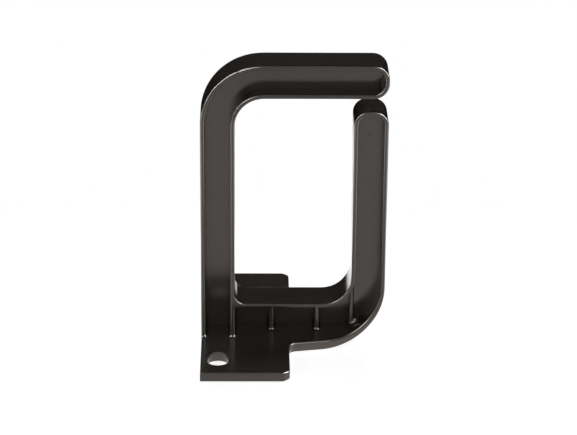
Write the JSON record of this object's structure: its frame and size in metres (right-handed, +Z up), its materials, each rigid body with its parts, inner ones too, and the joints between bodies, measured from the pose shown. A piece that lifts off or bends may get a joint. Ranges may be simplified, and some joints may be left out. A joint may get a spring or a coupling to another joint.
{
  "type": "cable management ring",
  "caption": "Open moulded plastic ring of I-section on a flat base plate with slotted screw holes, holding cables that are slipped in through the gap at its upper corner.",
  "frame": {"origin": "on the mounting face of the base plate, midway between the screw slots", "axes": "+Z up from the mounting face, +X across the ring from its closed arm to its arm with the entry gap, -Y the side of the ribs and the ring's deeper hollow, with the slots in line along Y"},
  "size_m": [0.0463, 0.0604, 0.0751],
  "materials": {
    "black_plastic": "satin moulded black"
  },
  "bodies": {
    "root": {"cable_ring": "black_plastic"}
  },
  "joints": []
}
